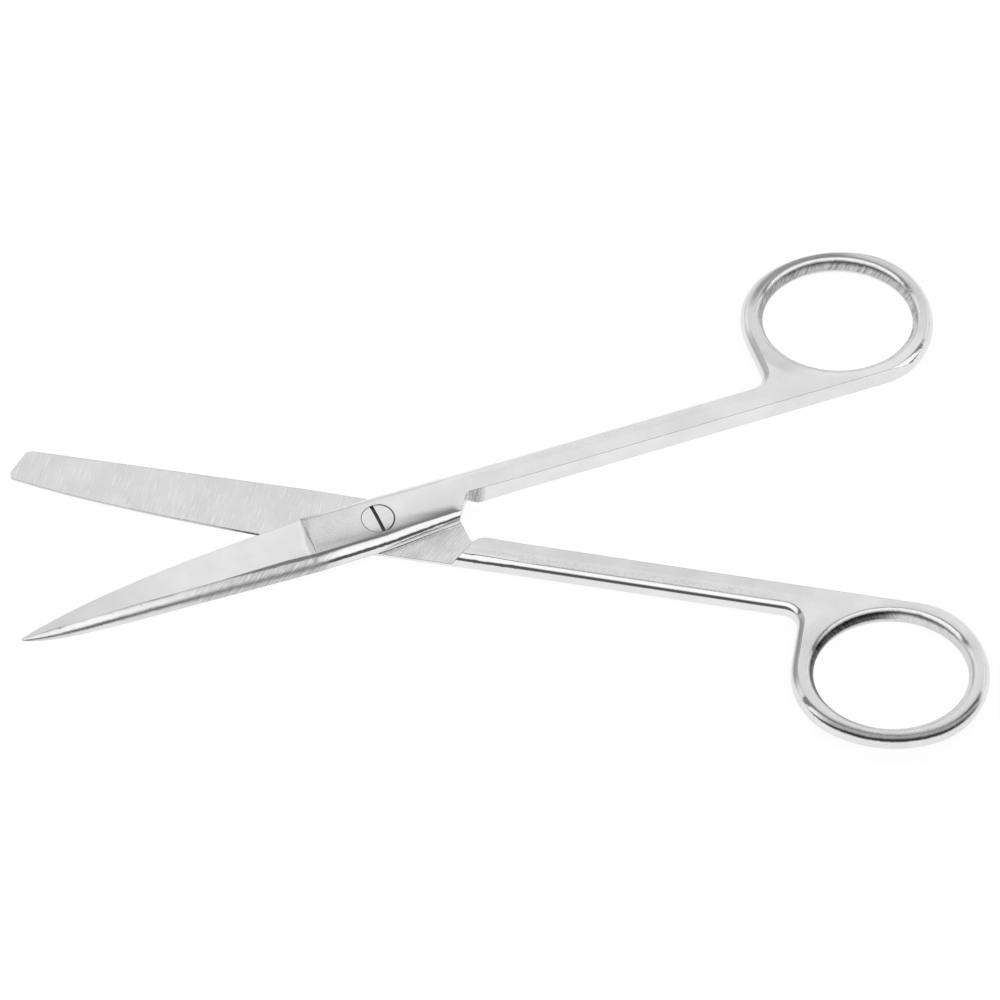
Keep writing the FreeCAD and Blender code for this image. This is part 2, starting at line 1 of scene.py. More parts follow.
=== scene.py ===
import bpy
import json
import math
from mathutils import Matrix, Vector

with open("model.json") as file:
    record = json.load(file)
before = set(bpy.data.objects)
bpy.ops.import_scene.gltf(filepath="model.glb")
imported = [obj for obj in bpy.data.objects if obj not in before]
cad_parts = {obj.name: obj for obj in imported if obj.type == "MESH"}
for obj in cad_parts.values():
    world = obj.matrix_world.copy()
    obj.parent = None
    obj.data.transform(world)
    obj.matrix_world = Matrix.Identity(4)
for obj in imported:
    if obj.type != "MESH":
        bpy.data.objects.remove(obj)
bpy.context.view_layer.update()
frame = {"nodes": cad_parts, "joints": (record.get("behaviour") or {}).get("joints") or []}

# %% [markdown]
# # Dressing scissors in satin steel
#
# The imported model already has the true shape of each forging, so this file dresses it. It adds
# the finish of every surface, the light of a small studio and a camera. Everything is in metres,
# in the same frame as the model: the pivot stands upright on the origin, and the finger rings
# point along +X.

# %% Tools and the model's pieces
from types import SimpleNamespace

MM = 0.001
nodes = frame["nodes"]
print("pieces in the frame:", sorted(nodes))

# %% [markdown]
# ## Where the camera stands
#
# The picture was taken with a long lens from a little over 50 degrees above the table. A long
# lens keeps the two rings nearly the same size although one is nearer. The camera is built from
# its direction: one vector points back from the pivot to the lens, and the other two say what is
# right and what is up in the picture.

# %% Directions of the camera
CAMERA_ELEVATION = math.radians(55.52)
CAMERA_AZIMUTH = math.radians(-7.28)
CAMERA_ROLL = math.radians(-2.28)

pivot = Vector((0, 0, frame["joints"][0]["pos_m"][2]))
back = Vector((
    math.sin(CAMERA_AZIMUTH) * math.cos(CAMERA_ELEVATION),
    -math.cos(CAMERA_AZIMUTH) * math.cos(CAMERA_ELEVATION),
    math.sin(CAMERA_ELEVATION),
))
level_right = Vector((math.cos(CAMERA_AZIMUTH), math.sin(CAMERA_AZIMUTH), 0))
level_up = back.cross(level_right)
right = math.cos(CAMERA_ROLL) * level_right - math.sin(CAMERA_ROLL) * level_up
up = math.sin(CAMERA_ROLL) * level_right + math.cos(CAMERA_ROLL) * level_up
print("the camera looks back along", [round(value, 3) for value in back])

# %% [markdown]
# The distance and the lens go together: the same picture could be taken from nearer with a
# shorter lens, but then the nearer ring would look larger than it does. The pivot isn't in the
# middle of the picture, so the camera is moved sideways and not turned. That keeps the angles.

# %% Camera
CAMERA_DISTANCE = 1096 * MM
PIVOT_RIGHT_OF_CENTRE = -20.0 * MM
PIVOT_ABOVE_CENTRE = -4.33 * MM
LENS = 241.6
SENSOR_WIDTH = 36.0
NEAREST_SEEN = 0.05
FARTHEST_SEEN = 20.0

camera_data = bpy.data.cameras.new("camera")
camera_data.lens = LENS
camera_data.sensor_width = SENSOR_WIDTH
camera_data.clip_start = NEAREST_SEEN
camera_data.clip_end = FARTHEST_SEEN
camera = bpy.data.objects.new("camera", camera_data)
bpy.context.scene.collection.objects.link(camera)
place = pivot + back * CAMERA_DISTANCE - right * PIVOT_RIGHT_OF_CENTRE - up * PIVOT_ABOVE_CENTRE
camera.matrix_world = Matrix((
    (right.x, up.x, back.x, place.x),
    (right.y, up.y, back.y, place.y),
    (right.z, up.z, back.z, place.z),
    (0, 0, 0, 1),
))
bpy.context.scene.camera = camera
print("camera at", [round(value, 3) for value in place])

# %% [markdown]
# ## Node helpers
#
# Every finish here is a small network of nodes. The first helper adds one node and fills or links
# its inputs, and the second makes a node group with named sockets. A network could also be loaded
# ready-made, but a script that adds its nodes one by one shows how it works.

# %% Helpers that add a node and a group
def add_node(tree, kind, inputs=None, **settings):
    """Add one node, set its properties, and fill or link its inputs by name or number."""
    node = tree.nodes.new(kind)
    for name, value in settings.items():
        setattr(node, name, value)
    for name, value in (inputs or {}).items():
        if isinstance(value, bpy.types.NodeSocket):
            tree.links.new(value, node.inputs[name])
        else:
            node.inputs[name].default_value = value
    return node


def new_group(name, inputs, outputs):
    """A shader node group with named sockets, and the sockets that come into it."""
    group = bpy.data.node_groups.new(name, "ShaderNodeTree")
    for label, kind in inputs:
        group.interface.new_socket(label, in_out="INPUT", socket_type="NodeSocket" + kind)
    for label, kind in outputs:
        group.interface.new_socket(label, in_out="OUTPUT", socket_type="NodeSocket" + kind)
    return group, add_node(group, "NodeGroupInput").outputs


print("helpers that add nodes are ready")

# %% [markdown]
# Most of the work is arithmetic with masks. A mask is a number for each point of the surface: 1
# where a finish is full, 0 where there is none, and something between where it fades. A fade
# looks truer than a hard border, because no belt stops on a line, so masks come from soft steps.

# %% Helpers for arithmetic
def calculate(tree, operation, first, second=0.0):
    """One Math node; its result."""
    return add_node(tree, "ShaderNodeMath", {0: first, 1: second}, operation=operation).outputs[0]


def multiply(tree, first, *others):
    """The product of masks and numbers."""
    for other in others:
        first = calculate(tree, "MULTIPLY", first, other)
    return first


def soft_step(tree, value, low, high):
    """A mask that goes smoothly from 0 at low to 1 at high; low may be the larger number."""
    return add_node(tree, "ShaderNodeMapRange", {
        "Value": value, "From Min": low, "From Max": high,
    }, interpolation_type="SMOOTHSTEP").outputs["Result"]


print("helpers for arithmetic are ready")

# %% [markdown]
# ## Light
#
# Polished steel has hardly any colour of its own: it shows the room. So the room is designed, as
# a photographer does it, with long soft panels that lie along the scissors. Their place is one
# angle, from the front horizon over the top to the back horizon. Low in front there is a dark
# gap, which draws the dark line along every rounded edge. Above it hangs the white main panel,
# which draws the bright line beside it. A second dark gap overhead shades the slopes beside the
# flats, and the flats themselves look up at the pale panel behind. Each stop below is an angle in
# degrees and a brightness.

# %% World: long panels along the scissors
HALF_TURN = 180
SKY_PANELS = [
    (0.0, 0.12), (20.0, 0.08), (27.0, 0.08), (36.0, 1.08), (77.0, 1.08), (87.0, 0.20),
    (104.0, 0.20), (116.0, 0.86), (150.0, 0.88), (164.0, 0.74), (180.0, 0.60),
]
bpy.context.scene.view_settings.view_transform = "Standard"
world = bpy.data.worlds.new("studio")
bpy.context.scene.world = world
world.use_nodes = True
sky = world.node_tree
sky.nodes.clear()
direction = add_node(sky, "ShaderNodeTexCoord").outputs["Generated"]
parts = add_node(sky, "ShaderNodeSeparateXYZ", {"Vector": direction})
towards_front = calculate(sky, "MULTIPLY", parts.outputs["Y"], -1.0)
around = calculate(sky, "ARCTAN2", parts.outputs["Z"], towards_front)
share_of_half_turn = calculate(sky, "DIVIDE", around, math.pi)
panels = add_node(sky, "ShaderNodeValToRGB", {"Fac": share_of_half_turn})
stops = panels.color_ramp.elements
while len(stops) < len(SKY_PANELS):
    stops.new(0.5)
for stop, (degrees, grey) in zip(stops, SKY_PANELS):
    stop.position = degrees / HALF_TURN
    stop.color = (grey, grey, grey, 1)
print("the sky has", len(stops), "panel edges")

# %% [markdown]
# The panels light the steel, but the picture has a plain white background. Light Path tells the
# two apart: a ray straight from the camera gets plain white, and every other ray gets the panels.

# %% White background
WHITE = (1, 1, 1, 1)
panel_light = add_node(sky, "ShaderNodeBackground", {"Color": panels.outputs["Color"], "Strength": 1.0})
plain_white = add_node(sky, "ShaderNodeBackground", {"Color": WHITE, "Strength": 1.0})
seen = add_node(sky, "ShaderNodeLightPath").outputs["Is Camera Ray"]
mixed = add_node(sky, "ShaderNodeMixShader", {
    0: seen, 1: panel_light.outputs[0], 2: plain_white.outputs[0]})
add_node(sky, "ShaderNodeOutputWorld", {"Surface": mixed.outputs[0]})
print("the studio has", len(sky.nodes), "nodes")

# %% [markdown]
# ## Floor
#
# The scissors lie on white paper. The camera sees it as plain white, and polished steel sees it a
# little greyer, so that the low walls of the scissors stand out from it. A share of real diffuse
# shading is left in, which keeps the soft shadow under the object.

# %% Sheet of paper
FLOOR_SIZE = 6.0
bpy.ops.object.select_all(action="DESELECT")
bpy.ops.mesh.primitive_plane_add(size=FLOOR_SIZE, location=(0, 0, 0))
floor = bpy.context.active_object
floor.name = "paper_floor"
print("floor is", FLOOR_SIZE, "m wide")

# %% [markdown]
# The paper has three whites: the one that the camera sees, the one that the steel mirrors, and
# the diffuse white that takes the shadow. Light Path tells which kind of ray arrives, and the
# share says how much of the first two covers the third.

# %% White of the paper
SHARE_WITHOUT_SHADOW = 0.80
PAPER_GREY = (0.80, 0.80, 0.80, 1)
WHITE_SEEN = 1.12
WHITE_MIRRORED = 0.98
paper = bpy.data.materials.new("white_paper")
paper.use_nodes = True
sheet = paper.node_tree
sheet.nodes.clear()
diffuse = add_node(sheet, "ShaderNodeBsdfDiffuse", {"Color": PAPER_GREY})
path = add_node(sheet, "ShaderNodeLightPath")
seen_white = add_node(sheet, "ShaderNodeEmission", {"Color": WHITE, "Strength": WHITE_SEEN})
mirrored_white = add_node(sheet, "ShaderNodeEmission", {"Color": WHITE, "Strength": WHITE_MIRRORED})
either = calculate(sheet, "MAXIMUM", path.outputs["Is Camera Ray"], path.outputs["Is Glossy Ray"])
share = calculate(sheet, "MULTIPLY", either, SHARE_WITHOUT_SHADOW)
white = add_node(sheet, "ShaderNodeMixShader", {
    0: path.outputs["Is Camera Ray"], 1: mirrored_white.outputs[0], 2: seen_white.outputs[0]})
mixed = add_node(sheet, "ShaderNodeMixShader", {0: share, 1: diffuse.outputs[0], 2: white.outputs[0]})
add_node(sheet, "ShaderNodeOutputMaterial", {"Surface": mixed.outputs[0]})
floor.data.materials.append(paper)
print("the paper keeps", round(1 - SHARE_WITHOUT_SHADOW, 2), "of its shading")

# %% [markdown]
# ## Smooth skins
#
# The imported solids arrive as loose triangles. A small Geometry Nodes modifier joins them and marks
# only the true creases as sharp, so the ground edges stay crisp while the rounded bands turn
# smooth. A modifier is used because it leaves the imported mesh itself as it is.

# %% Smooth skins
CREASE_ANGLE = math.radians(22)
SAME_POINT = 0.001 * MM
skin = bpy.data.node_groups.new("smooth_skin", "GeometryNodeTree")
skin.is_modifier = True
skin.interface.new_socket("Geometry", in_out="INPUT", socket_type="NodeSocketGeometry")
skin.interface.new_socket("Geometry", in_out="OUTPUT", socket_type="NodeSocketGeometry")
loose = add_node(skin, "NodeGroupInput").outputs["Geometry"]
plain = add_node(skin, "GeometryNodeRemoveAttribute", {"Geometry": loose, "Name": "custom_normal"})
joined = add_node(skin, "GeometryNodeMergeByDistance", {
    "Geometry": plain.outputs["Geometry"], "Distance": SAME_POINT})
rounded = add_node(skin, "GeometryNodeSetShadeSmooth", {
    "Geometry": joined.outputs["Geometry"], "Shade Smooth": True}, domain="FACE")
angle = add_node(skin, "GeometryNodeInputMeshEdgeAngle").outputs["Unsigned Angle"]
crease = add_node(skin, "FunctionNodeCompare", {"A": angle, "B": CREASE_ANGLE}, operation="GREATER_THAN")
creased = add_node(skin, "GeometryNodeSetShadeSmooth", {
    "Geometry": rounded.outputs["Geometry"], "Selection": crease.outputs["Result"], "Shade Smooth": False,
}, domain="EDGE")
add_node(skin, "NodeGroupOutput", {"Geometry": creased.outputs["Geometry"]})
for name, piece in nodes.items():
    piece.modifiers.new("smooth_skin", "NODES").node_group = skin
    print(name, len(piece.data.polygons), "triangles")

# %% [markdown]
# ## Where a point lies on its own half
#
# The two halves lie turned against each other, and the lower one is upside down. The finishes
# follow the forging and not the table, so the first group turns every point back into the half's
# own frame in millimetres: x from the pivot to the ring, y across, and z out of the joint face. It
# also says how far the surface faces out of the joint. One group serves both halves, because only
# the turn and the side differ.

# %% Group: place on the half
half_place, given = new_group(
    "half_place",
    [("Point", "Vector"), ("Normal", "Vector"), ("Turn", "Float"), ("Side", "Float"),
     ("Mid Height", "Float")],
    [("Place", "Vector"), ("Along", "Float"), ("Across", "Float"), ("Depth", "Float"),
     ("Outward", "Float")],
)
middle = add_node(half_place, "ShaderNodeCombineXYZ", {"Z": given["Mid Height"]})
lowered = add_node(half_place, "ShaderNodeVectorMath", {
    0: given["Point"], 1: middle.outputs[0]}, operation="SUBTRACT")
turned = add_node(half_place, "ShaderNodeVectorRotate", {
    "Vector": lowered.outputs[0], "Angle": given["Turn"]}, rotation_type="Z_AXIS")
flip = calculate(half_place, "MULTIPLY", given["Side"], 1 / MM)
factors = add_node(half_place, "ShaderNodeCombineXYZ", {"X": 1 / MM, "Y": flip, "Z": flip})
place = add_node(half_place, "ShaderNodeVectorMath", {
    0: turned.outputs[0], 1: factors.outputs[0]}, operation="MULTIPLY")
place_parts = add_node(half_place, "ShaderNodeSeparateXYZ", {0: place.outputs[0]})
normal_parts = add_node(half_place, "ShaderNodeSeparateXYZ", {0: given["Normal"]})
outward = calculate(half_place, "MULTIPLY", normal_parts.outputs["Z"], given["Side"])
add_node(half_place, "NodeGroupOutput", {
    "Place": place.outputs[0], "Along": place_parts.outputs["X"],
    "Across": place_parts.outputs["Y"], "Depth": place_parts.outputs["Z"], "Outward": outward,
})
print("half_place has", len(half_place.nodes), "nodes")

# %% [markdown]
# ## Marks of the grinding belt
#
# Each flat was ground on a belt, which leaves fine parallel lines. A noise texture that is
# stretched along one direction gives lines of uneven length and strength, which looks truer than
# a wave texture's even ones. The same group serves for the hatch on the blade's back, the cross
# scratches on the inner faces, the streaks in the finger holes, the brushing of the shanks and
# the screw's head, each with its own angle and size.

# %% Group: grinding lines
grinding_lines, given = new_group(
    "grinding_lines",
    [("Place", "Vector"), ("Angle", "Float"), ("Spacing", "Float"), ("Length", "Float"),
     ("Seed", "Float")],
    [("Lines", "Float"), ("Bright", "Float"), ("Dark", "Float")],
)
back_turn = calculate(grinding_lines, "MULTIPLY", given["Angle"], -1.0)
lined_up = add_node(grinding_lines, "ShaderNodeVectorRotate", {
    "Vector": given["Place"], "Angle": back_turn}, rotation_type="Z_AXIS")
per_length = calculate(grinding_lines, "DIVIDE", 1.0, given["Length"])
per_spacing = calculate(grinding_lines, "DIVIDE", 1.0, given["Spacing"])
stretch = add_node(grinding_lines, "ShaderNodeCombineXYZ", {
    "X": per_length, "Y": per_spacing, "Z": per_length})
squeezed = add_node(grinding_lines, "ShaderNodeVectorMath", {
    0: lined_up.outputs[0], 1: stretch.outputs[0]}, operation="MULTIPLY")
moved = add_node(grinding_lines, "ShaderNodeVectorMath", {
    0: squeezed.outputs[0], 1: given["Seed"]}, operation="ADD")
belt = add_node(grinding_lines, "ShaderNodeTexNoise", {
    "Vector": moved.outputs[0], "Scale": 1.0, "Detail": 2.5, "Roughness": 0.6}).outputs["Fac"]
add_node(grinding_lines, "NodeGroupOutput", {
    "Lines": soft_step(grinding_lines, belt, 0.30, 0.70),
    "Bright": soft_step(grinding_lines, belt, 0.57, 0.68),
    "Dark": soft_step(grinding_lines, belt, 0.40, 0.28),
})
print("grinding_lines has", len(grinding_lines.nodes), "nodes")

# %% [markdown]
# ## Smudges and specks
#
# Polished steel is never quite even. Wide soft patches stand for the polisher's hand and for
# fingers, and fine specks for the bite of the blasted or brushed surface. Both are noise: the
# patches are about 6 mm wide and the specks a third of a millimetre.

# %% Group: smudges and specks
PATCHES_PER_MM = 0.16
SPECKS_PER_MM = 3.2
smudges_and_specks, given = new_group(
    "smudges_and_specks",
    [("Place", "Vector")],
    [("Smudges", "Float"), ("Specks", "Float")],
)
patches = add_node(smudges_and_specks, "ShaderNodeTexNoise", {
    "Vector": given["Place"], "Scale": PATCHES_PER_MM, "Detail": 3.0, "Roughness": 0.55}).outputs["Fac"]
grains = add_node(smudges_and_specks, "ShaderNodeTexNoise", {
    "Vector": given["Place"], "Scale": SPECKS_PER_MM, "Detail": 2.0, "Roughness": 0.6}).outputs["Fac"]
add_node(smudges_and_specks, "NodeGroupOutput", {
    "Smudges": soft_step(smudges_and_specks, patches, 0.32, 0.68),
    "Specks": soft_step(smudges_and_specks, grains, 0.36, 0.66),
})
print("smudges_and_specks has", len(smudges_and_specks.nodes), "nodes")

# %% [markdown]
# ## Forged steel
#
# Both halves get the same steel, each in a material of its own, because one is turned and the
# other lies upside down. The material is built in steps: first the measures that say where a
# point lies, then zones such as the blade's back or the finger hole, then the marks, and last
# the colour, the gloss and the relief that they lead to. What belongs to one half is kept
# together under one name, so that every step can reach what the steps before it made.

# %% Start the steel of each half
OPENING_HALF = math.radians(14.84)


def start_steel(name, turn, side):
    """A material for one half, turned by an angle, with its outer side up (1) or down (-1)."""
    material = bpy.data.materials.new(name)
    material.use_nodes = True
    tree = material.node_tree
    surface = add_node(tree, "ShaderNodeTexCoord").outputs
    here = add_node(tree, "ShaderNodeGroup", {
        "Point": surface["Object"], "Normal": surface["Normal"], "Turn": -turn, "Side": side,
        "Mid Height": pivot.z,
    }, node_tree=half_place).outputs
    measures = {label.lower(): here[label] for label in ("Along", "Across", "Depth", "Outward")}
    return SimpleNamespace(
        side=side, material=material, tree=tree, shader=tree.nodes["Principled BSDF"],
        place=here["Place"], measures=measures, zones={}, marks={})


sharp_steel = start_steel("sharp_half_steel", OPENING_HALF, 1.0)
blunt_steel = start_steel("blunt_half_steel", -OPENING_HALF, -1.0)
halves = [sharp_steel, blunt_steel]
print("steel begun for", [half.material.name for half in halves])

# %% [markdown]
# More measures make the zones easy to say. "facing" is how level the surface is, whichever side
# is up. "above" is the height over the joint face as the scissors lie. "radius" is the distance
# from the screw's axis. "from_hole" is how far a point lies outside the waist of the finger hole,
# which is an ellipse: a Mapping node moves, turns and scales the place so that the ellipse becomes
# a circle of size 1, and the length of the result says how far out the point is.

# %% More measures
HOLE_CENTRE = (86.5, 13.65, 0)
HOLE_TURN = math.radians(-14.9)
HOLE_HALF_LENGTH = 12.6
HOLE_HALF_WIDTH = 10.7
HOLE_MEAN_RADIUS = 11.6
FLATTENED = 1e6
for half in halves:
    tree = half.tree
    along = half.measures["along"]
    across = half.measures["across"]
    in_hole = add_node(tree, "ShaderNodeMapping", {
        "Vector": half.place, "Location": HOLE_CENTRE, "Rotation": (0, 0, HOLE_TURN),
        "Scale": (HOLE_HALF_LENGTH, HOLE_HALF_WIDTH, FLATTENED)}, vector_type="TEXTURE").outputs[0]
    share_out = add_node(tree, "ShaderNodeVectorMath", {0: in_hole}, operation="LENGTH").outputs["Value"]
    past_waist = calculate(tree, "SUBTRACT", share_out, 1.0)
    half.measures["from_hole"] = calculate(tree, "MULTIPLY", past_waist, HOLE_MEAN_RADIUS)
    half.measures["facing"] = calculate(tree, "ABSOLUTE", half.measures["outward"])
    half.measures["above"] = multiply(tree, half.measures["depth"], half.side)
    squares = calculate(tree, "ADD", multiply(tree, along, along), multiply(tree, across, across))
    half.measures["radius"] = calculate(tree, "SQRT", squares)
    print(half.material.name, "is measured by", list(half.measures))

# %% [markdown]
# ## Zones
#
# A zone is a mask. Each row below gives the zone's name, the zone that it lies in, and its
# limits: a measure, where the mask is 0 and where it is 1, in millimetres. The gap between the
# two is how softly the zone fades. The first zones say which way a surface looks: "level" is a
# flat, "inner" a face that looks at the other half, and "wall" everything steeper.

# %% Flats and walls
def add_zones(half, rows):
    """Mark out zones, each within another one and between limits."""
    for name, inside, *limits in rows:
        masks = [half.zones[inside]] if inside else []
        for measure, none_at, full_at in limits:
            masks.append(soft_step(half.tree, half.measures[measure], none_at, full_at))
        half.zones[name] = multiply(half.tree, *masks)


for half in halves:
    add_zones(half, [
        ("level", None, ("facing", 0.955, 0.992)),
        ("inner", None, ("outward", -0.90, -0.97)),
        ("wall", None, ("facing", 0.97, 0.88)),
    ])
    print(half.material.name, "has the zones", list(half.zones))

# %% [markdown]
# The back of a blade is ground with a coarse belt, and the marks fade towards the tip. The inner
# face has long cross scratches from the wheel that hollowed it. The land is the narrow wall under
# the cutting edge. On the blunt half it gets a little painted shade, and near the joint both halves
# get a deeper painted shadow where the other half shades it.

# %% Zones of the blade
for half in halves:
    add_zones(half, [
        ("inner_blade", "inner", ("along", 4.0, 1.0)),
        ("hatched", "wall", ("along", -46.0, -22.0), ("along", -7.0, -11.5)),
        ("blade_back", "wall", ("along", -9.0, -14.0)),
        ("land", "wall", ("across", 1.2, 2.2), ("along", -12.0, -14.0)),
        ("edge_wall_painted_shadow", "land", ("along", -27.0, -19.0)),
    ])
    print(half.material.name, "has", len(half.zones), "zones")

# %% [markdown]
# The joint was ground on its own: flat and finely speckled on the outside, with brush lines on
# the face that slides. The gap beside the screw's head gets painted shade, and behind the joint a
# notch was filed across the shank, whose wall gets filing lines and painted shade.

# %% Zones of the joint
for half in halves:
    add_zones(half, [
        ("inner_joint", "inner", ("along", 1.0, 4.0), ("along", 16.0, 13.5)),
        ("joint_start", None, ("outward", 0.80, 0.95), ("along", 3.0, -7.0), ("along", -11.6, -11.1)),
        ("notch_wall", "wall", ("along", 14.8, 15.4), ("along", 19.2, 17.6), ("across", 3.2, 2.2)),
        ("screw_gap_painted_shade", None, ("radius", 2.48, 2.62), ("radius", 2.98, 2.80), ("along", 0.2, 1.6)),
    ])
    print(half.material.name, "has", len(half.zones), "zones")

# %% [markdown]
# Where the blade starts, the grinder stopped at a slightly curved shoulder. The solid's shoulder
# is straight, so the curve is only painted into the colour: a thin line of painted shade with a
# painted highlight beside it. A soft step across the blade bends both lines by up to 0.9 mm.

# %% Shoulder between blade and joint
SHOULDER_PLACE = 11.35
SHOULDER_CURVE = 0.9
for half in halves:
    curve = multiply(half.tree, soft_step(half.tree, half.measures["across"], 3.5, -1.0), SHOULDER_CURVE)
    bent = calculate(half.tree, "ADD", half.measures["along"], curve)
    half.measures["from_shoulder"] = calculate(half.tree, "ADD", bent, SHOULDER_PLACE)
    add_zones(half, [
        ("shoulder_shade", None, ("from_shoulder", -0.45, -0.05), ("from_shoulder", 0.9, 0.1),
         ("outward", 0.5, 0.8)),
        ("shoulder_light", None, ("from_shoulder", -1.3, -0.8), ("from_shoulder", -0.3, -0.6),
         ("outward", 0.5, 0.8)),
    ])
    print(half.material.name, "has", len(half.zones), "zones")

# %% [markdown]
# The shank's flats are brushed lightly, with a speckled strip towards the ring's side. On the
# lower half the strip along the other edge is a little darker. In "run_out", the first stretch
# behind the joint, the polisher evened out the step from the plate to the shank.

# %% Zones of the shank
for half in halves:
    add_zones(half, [
        ("handle_flat", "level", ("along", 13.5, 16.0)),
        ("speckled", "handle_flat", ("across", 2.3, 2.7), ("along", 74.0, 60.0)),
        ("far_strip", "handle_flat", ("across", 2.6, 1.8), ("along", 76.0, 64.0)),
        ("soft_shank", None, ("along", 22.0, 30.0), ("across", 0.6, 2.5)),
        ("run_out", None, ("along", 12.0, 14.5), ("along", 28.0, 24.0), ("facing", 0.88, 0.95)),
    ])
    print(half.material.name, "has", len(half.zones), "zones")

# %% [markdown]
# A finger ring is bent to its oval and then belted. Its outer rim is rolled, its top is narrow,
# and the hole's wall keeps coarse streaks. Where the rolled rim ends, the colour carries painted
# shade.

# %% Zones of the ring
for half in halves:
    add_zones(half, [
        ("ring_wall", "wall", ("along", 68.0, 74.0)),
        ("ring_top", "level", ("across", 4.0, 7.0), ("from_hole", 4.2, 3.2)),
        ("soft_ring", None, ("along", 70.0, 78.0), ("across", 4.0, 9.0)),
        ("hole_side", "wall", ("from_hole", 1.6, 1.2)),
        ("rolled", None, ("facing", 0.40, 0.62), ("facing", 0.985, 0.93), ("from_hole", 1.7, 2.1)),
        ("rolled_end_painted_shade", "rolled", ("across", 15.0, 19.0), ("along", 74.0, 79.0)),
        ("rolled_side", "rolled", ("across", 4.5, 6.5), ("along", 82.0, 78.0)),
    ])
    print(half.material.name, "has", len(half.zones), "zones")

# %% [markdown]
# The rings lie on opposite sides and one half is upside down, so the light falls differently into
# the two holes. These zones have the same names on both halves but limits of their own. The start
# of the hole's wall and the rolled neck carry painted shade, and only the sharp half has a band of
# painted dark reflection on its far side.

# %% Zones of the ring that differ between the halves
add_zones(sharp_steel, [
    ("hole_wall", "hole_side", ("above", -0.5, -0.1), ("above", 1.75, 1.3)),
    ("hole_start_painted_shade", "hole_wall", ("along", 88.0, 82.0)),
    ("rolled_neck_painted_shade", "rolled_side", ("across", 18.0, 13.0)),
    ("far_band_painted_reflection", None, ("facing", 0.55, 0.75), ("from_hole", 1.3, 1.6), ("from_hole", 2.5, 2.0),
     ("across", 19.0, 23.5), ("along", 96.0, 90.0)),
    ("crowned", None, ("along", 66.0, 74.0)),
])
add_zones(blunt_steel, [
    ("hole_wall", "hole_side", ("above", -1.1, -0.5), ("above", 1.75, 1.3)),
    ("hole_start_painted_shade", "hole_wall", ("along", 88.0, 82.0), ("above", -0.2, 0.4)),
    ("rolled_neck_painted_shade", "rolled_side", ("across", 21.0, 17.0)),
    ("crowned", None, ("along", 74.0, 92.0)),
])
print("zones:", len(sharp_steel.zones), "on the sharp half,", len(blunt_steel.zones), "on the blunt one")

# %% [markdown]
# ## Marks
#
# The belt and the wheels left five kinds of lines: the hatch on the blade's back, streaks in the
# finger hole, cross scratches on the inner blade, finer lines on the sliding face of the joint,
# and the brush on the handles. On a wall the lines would be seen end-on, so the first two lie on
# a place of their own, whose second direction adds a share of the depth to the place across.

# %% Marks on each half
DEPTH_SHARE = 0.8


def add_lines(half, name, place, angle, spacing, length, seed):
    """Grinding lines at an angle in degrees, with spacing and length in millimetres."""
    lines = add_node(half.tree, "ShaderNodeGroup", {
        "Place": place, "Angle": math.radians(angle), "Spacing": spacing, "Length": length,
        "Seed": seed}, node_tree=grinding_lines).outputs
    half.marks[name] = lines["Lines"]
    half.marks[name + "_bright"] = lines["Bright"]
    half.marks[name + "_dark"] = lines["Dark"]


for half in halves:
    down = calculate(half.tree, "ADD", half.measures["across"],
                     multiply(half.tree, half.measures["depth"], DEPTH_SHARE))
    on_wall = add_node(half.tree, "ShaderNodeCombineXYZ", {
        "X": half.measures["along"], "Y": down}).outputs[0]
    add_lines(half, "hatch", on_wall, 43.0, 0.24, 4.0, 3.0)
    add_lines(half, "streaks", on_wall, 60.0, 0.30, 2.5, 71.0)
    add_lines(half, "cross", half.place, 85.0 * half.side, 0.28, 3.6, 11.0)
    add_lines(half, "face", half.place, 62.0 * half.side, 0.22, 3.0, 23.0)
    add_lines(half, "brush", half.place, 30.0, 0.26, 1.2, 37.0)
    uneven = add_node(half.tree, "ShaderNodeGroup", {
        "Place": half.place}, node_tree=smudges_and_specks).outputs
    half.marks["smudges"] = uneven["Smudges"]
    half.marks["specks"] = uneven["Specks"]
    print(half.material.name, "has", len(half.marks), "kinds of marks")

# %% [markdown]
# ## Lines where two faces meet
#
# Along every crease and crisp edge the colour carries a fine line of painted shade. The Bevel
# node gives the normal as if every edge were rounded by a small radius. Where that normal turns
# away from the true one, there is an edge, and the difference becomes a mask.

# %% Crease mask
CREASE_WIDTH = 0.14 * MM
CREASE_SAMPLES = 6
for half in halves:
    fine_edges = add_node(half.tree, "ShaderNodeBevel", {"Radius": CREASE_WIDTH}, samples=CREASE_SAMPLES)
    plain_normal = add_node(half.tree, "ShaderNodeNewGeometry").outputs["Normal"]
    agreement = add_node(half.tree, "ShaderNodeVectorMath", {
        0: fine_edges.outputs["Normal"], 1: plain_normal}, operation="DOT_PRODUCT").outputs["Value"]
    half.zones["crease"] = soft_step(half.tree, agreement, 0.99, 0.88)
    print(half.material.name, "has creases of", round(CREASE_WIDTH / MM, 2), "mm")
